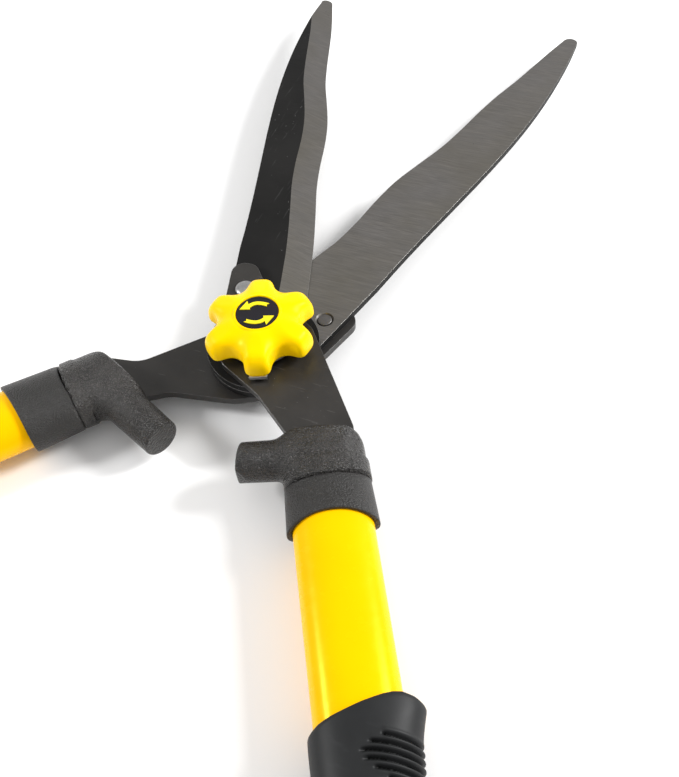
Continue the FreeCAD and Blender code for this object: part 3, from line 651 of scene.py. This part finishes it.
def grip(half):
    """A ribbed sleeve, outside from rim to end and back along its bore."""
    runs = list(RIM_RUNS)
    here = RUN_START
    while here < RUN_LENGTH:
        near = min(abs(here + RUN_ORIGIN - (patch + PATCH_MIDDLE)) for patch in PATCHES)
        here += FINE_STEP if near < PATCH_REACH else PLAIN_STEP
        runs.append(here)
    angle = np.linspace(0, 2 * np.pi, GRIP_AROUND, endpoint=False)
    turn = np.degrees(np.abs((angle + np.pi) % (2 * np.pi) - np.pi))
    bow = GROOVE_BOW * np.cos(np.radians(np.minimum(turn, 90))) ** GROOVE_BOW_POWER
    unit = oval_ring(1.0, 1.0, GRIP_POWER, GRIP_AROUND)
    rim_side = unit[:, 0] * np.where(unit[:, 0] > 0, RIM_OUTER, RIM_INNER)
    rim = np.interp(rim_side, RIM_SIDES, RIM_STATIONS)
    rings = []
    for run, share in zip(runs, np.array(runs) / runs[-1]):
        s = rim + share * (GRIP_END - rim)
        outer, inner, high = (np.interp(s, GRIP_PROFILE[:, 0], column)
                              for column in GRIP_PROFILE.T[1:])
        ring = unit * np.stack([np.where(unit[:, 0] > 0, outer, inner), high], 1)
        ends = rolled(run, *RIM_ROLL) + rolled((1 - share) * GRIP_LENGTH, *END_ROLL)
        sink = np.full(GRIP_AROUND, ends)
        for patch in PATCHES:
            for i, reach in enumerate(GROOVE_REACH):
                off = (s - (patch + (i - 1.5) * GROOVE_PITCH + bow)) / GROOVE_WIDE
                window = np.clip((reach - turn) / GROOVE_FADE, 0, 1)
                window = window * window * (3 - 2 * window)
                sink += GROOVE_DEPTH * np.exp(-np.abs(off) ** GROOVE_POWER) * window
                ridge = (np.abs(off) - RIDGE_PLACE) / RIDGE_WIDE
                sink -= RIDGE_HIGH * np.exp(-ridge ** 2) * window
        size = np.linalg.norm(ring, axis=1, keepdims=True)
        rings.append(at_station(ring * (1 - sink[:, None] / size), s))
    bore = oval_ring(TUBE_WIDE + BORE_PLAY, TUBE_HIGH + BORE_PLAY, TUBE_POWER, GRIP_AROUND)
    rim = rim + 0.1
    rings += [at_station(bore, rim + share * (GRIP_END - rim)) for share in np.linspace(1, 0, 24)]
    points, faces = loft(rings, closed=True)
    add_mesh("grip_sleeve_" + half, on_handle(half, points), faces, BODY[half],
             ["grip_" + half], "grip_rubber", 60)


# the end cap, a rounded oval plate with a shallow dish: (share of its size, station)
CAP_WIDE, CAP_HIGH = 15.2, 9.7
CAP_PROFILE = (
    (0.90, 306.02), (1.0, 306.02), (1.0, 308.4), (0.985, 309.2), (0.94, 309.8), (0.88, 310.0),
    (0.72, 310.0), (0.68, 309.8), (0.64, 309.2), (0.3, 309.0), (0.02, 309.0),
)

for half in HALVES:
    grip(half)
    unit = oval_ring(CAP_WIDE, CAP_HIGH, GRIP_POWER, 120)
    points, faces = loft([at_station(unit * share, s) for share, s in CAP_PROFILE])
    add_mesh("grip_end_" + half, on_handle(half, points), faces, BODY[half],
             ["grip_cap_" + half], "cap_plastic", 50)

# ---------------------------------------------------------------- rivets

RIVET_PROFILE = (
    (0.0, 0.06), (2.2, 0.08), (2.6, 0.2), (2.72, 0.45), (2.72, 1.1), (2.45, 1.3), (2.45, 5.95),
    (3.7, 5.96), (3.88, 6.1), (3.88, 6.45), (3.72, 6.8), (3.3, 7.15), (2.6, 7.42), (1.7, 7.6),
    (0.8, 7.67), (0.0, 7.69),
)
for half, finish, flip in (("a", "rivet_steel", 1), ("b", "rivet_ground", -1)):
    low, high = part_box("blade_rivet_" + half)
    middle = (low + high) / 2 / MM
    points, faces = turned(RIVET_PROFILE)
    points = points * [1, flip, flip] + [middle.x, middle.y, SHEAR_PLANE]
    add_mesh("rivet_" + half, points, faces, BODY[half],
             ["blade_rivet_" + half], "rivet_steel", 40, finish)

# ---------------------------------------------------------------- knob

knob_low, knob_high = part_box("knob")
KNOB_FOOT, KNOB_TOP = knob_low.z / MM, knob_high.z / MM
KNOB_RADIUS, KNOB_DRAFT, LOBES, LOBE_ANGLE = 20.8, 0.02, 6, -8.5
# how high the top is above the foot, by radius
CREST_RADII = (0, 9.6, 10.6, 13.0, 16.0, 18.5, 20.8, 23.0)
CREST_HEIGHTS = (11.2, 11.2, 11.0, 10.4, 9.6, 8.9, 7.9, 6.6)
BITE_RADIUS, BITE_PLACE = 5.3, 20.3
SCOOP_RADIUS, SCOOP_HEIGHT, SCOOP_SLOPE, SCOOP_START = 5.0, 17.6, 0.5, 6.0
RING_RADIUS, RING_HEIGHT, RING_THICK = 8.15, 11.1, 0.34
DISC_RADIUS, WELL_FLOOR, INSERT_RADIUS, INSERT_TOP = 7.65, 9.98, 6.52, 8.22


def knob_field(x, y, z):
    """Six rounded lobes; the top falls away from a raised ring and is scooped between them."""
    r = np.sqrt(x ** 2 + y ** 2 + 1e-9)
    h = z - KNOB_FOOT
    outline = r - KNOB_RADIUS + KNOB_DRAFT * (h - 4.0)
    top = (h - np.interp(r, CREST_RADII, CREST_HEIGHTS)) * 0.92
    whole = smooth_max(outline, top, blend=4.2)
    for i in range(LOBES):
        a = math.radians(LOBE_ANGLE + 30 + 60 * i)
        cx, cy = math.cos(a), math.sin(a)
        along, beside = x * cx + y * cy, y * cx - x * cy
        bite = BITE_RADIUS - np.sqrt((along - BITE_PLACE) ** 2 + beside ** 2)
        whole = smooth_max(whole, bite, blend=3.4)
        # a slanting round scoop that deepens outwards
        rise = h - (SCOOP_HEIGHT - SCOOP_SLOPE * (along - 9.0))
        scoop = SCOOP_RADIUS - np.sqrt((rise * 0.85) ** 2 + beside ** 2)
        whole = smooth_max(whole, np.minimum(scoop, along - SCOOP_START), blend=2.2)
    ring = np.sqrt((r - RING_RADIUS) ** 2 + (h - RING_HEIGHT) ** 2) - RING_THICK
    whole = smooth_min(whole, ring, blend=0.4)
    whole = smooth_max(whole, 0.02 - h, blend=2.0)
    well = np.maximum(r - (DISC_RADIUS + 0.1), WELL_FLOOR - h)
    bore = np.maximum(r - INSERT_RADIUS, h - INSERT_TOP)
    return np.maximum(whole, -np.minimum(well, bore))


points, faces = surface_net(knob_field, (-22.5, -22.5, KNOB_FOOT - 1.0),
                            (22.5, 22.5, KNOB_TOP + 1.6), 0.45)
add_mesh("knob_body", points, faces, "knob", ["knob"], "knob_plastic", 55)

disc_low, disc_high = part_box("knob_disc")
foot, top = disc_low.z / MM + 0.01, disc_high.z / MM
face = top - 0.12
points, faces = turned([
    (0, foot), (DISC_RADIUS, foot), (DISC_RADIUS, top - 0.35), (DISC_RADIUS - 0.12, top - 0.1),
    (DISC_RADIUS - 0.4, top), (7.0, top), (6.9, face), (3.0, face), (0, face),
], 120)
add_mesh("knob_badge", points, faces, "knob", ["knob_disc"], "disc_plastic", 40)

# an arrow's corners as (radius, degrees); its sides swell outwards before ARROW_NECK degrees
ARROW_TIP, ARROW_BARB_OUT, ARROW_BARB_IN, ARROW_TAIL = (6.5, 188), (6.6, 146), (2.9, 173), (4.8, 68)
ARROW_OUTER, ARROW_INNER, ARROW_SWELL, ARROW_NECK = 4.95, 3.5, 0.75, 103


def arrow(index):
    """A broad curved arrow with a swallow tail; it lies just proud of the disc."""
    bottom, level = top - 0.13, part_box("knob_arrow_1")[1].z / MM
    outer = [(ARROW_OUTER + ARROW_SWELL * max(0.0, (ARROW_NECK - a) / 40) ** 2, a)
             for a in np.linspace(152, 63, 20)]
    inner = [(ARROW_INNER + ARROW_SWELL * max(0.0, (ARROW_NECK - a) / 45) ** 2, a)
             for a in np.linspace(58, 163, 24)]
    outline = [ARROW_TIP, ARROW_BARB_OUT] + outer + [ARROW_TAIL] + inner + [ARROW_BARB_IN]
    flat = [(r * math.cos(math.radians(a + 180 * index)),
             r * math.sin(math.radians(a + 180 * index)) - 0.6 * index) for r, a in outline]
    count = len(flat)
    points = [(x, y, z) for z in (bottom, level) for x, y in flat]
    faces = [tuple(range(count)), tuple(range(count, 2 * count))]
    faces += [(i, (i + 1) % count, count + (i + 1) % count, count + i) for i in range(count)]
    add_mesh(f"arrow_{index + 1}", points, faces, "knob",
             [f"knob_arrow_{index + 1}"], "arrow_plastic", 30)


arrow(0)
arrow(1)

# ---------------------------------------------------------------- floor, light and camera, metres

FLOOR_REACH, FLOOR_LEVEL = 4.0, -0.0003
floor_mesh = bpy.data.meshes.new("floor")
floor_mesh.from_pydata([(FLOOR_REACH * x, FLOOR_REACH * y, FLOOR_LEVEL)
                        for x, y in ((-1, -1), (1, -1), (1, 1), (-1, 1))], [], [(0, 1, 2, 3)])
floor = bpy.data.objects.new("floor", floor_mesh)
scene.collection.objects.link(floor)
paper = Finish("floor_paper", Roughness=0.75)
paper.set(Base_Color=paper.mix(paper.noise(3, 2), grey(0.93, 0.002), grey(0.95, 0.002)))
floor_mesh.materials.append(paper.material)

world = bpy.data.worlds.new("studio")
scene.world = world
world.use_nodes = True
studio = world.node_tree.nodes["Background"].inputs
studio["Color"].default_value = (1, 1, 1, 1)
studio["Strength"].default_value = 0.62


def soft_light(name, place, width, height, power):
    """A rectangle of light aimed at the pivot."""
    data = bpy.data.lights.new(name, "AREA")
    data.shape, data.size, data.size_y, data.energy = "RECTANGLE", width, height, power
    lamp = bpy.data.objects.new(name, data)
    lamp.location = place
    lamp.rotation_mode = "QUATERNION"
    lamp.rotation_quaternion = (-Vector(place)).to_track_quat("-Z", "Y")
    scene.collection.objects.link(lamp)


soft_light("key", (0.8, 0.5, 0.65), 0.28, 0.36, 15)
soft_light("fill", (-0.75, -0.28, 0.55), 0.2, 0.2, 5.5)

CAMERA_AT = Vector((0.11228, -0.172658, 0.256433))
CAMERA_AIM = Vector((0.0334865, -0.0085711, 0.013))
CAMERA_ROLL = math.radians(-5.5837)
back = (CAMERA_AT - CAMERA_AIM).normalized()
right = (-back).cross(Vector((0, 0, 1))).normalized()
up = right.cross(-back)
rolled_right = math.cos(CAMERA_ROLL) * right + math.sin(CAMERA_ROLL) * up
rolled_up = -math.sin(CAMERA_ROLL) * right + math.cos(CAMERA_ROLL) * up
camera_data = bpy.data.cameras.new("camera")
camera_data.sensor_fit, camera_data.sensor_width, camera_data.lens = "HORIZONTAL", 36.0, 45.066
camera_data.clip_start, camera_data.clip_end = 0.01, 20.0
camera = bpy.data.objects.new("camera", camera_data)
camera.matrix_world = Matrix((
    (rolled_right.x, rolled_up.x, back.x, CAMERA_AT.x),
    (rolled_right.y, rolled_up.y, back.y, CAMERA_AT.y),
    (rolled_right.z, rolled_up.z, back.z, CAMERA_AT.z),
    (0, 0, 0, 1),
))
scene.collection.objects.link(camera)
scene.camera = camera
scene.view_settings.view_transform = "Standard"
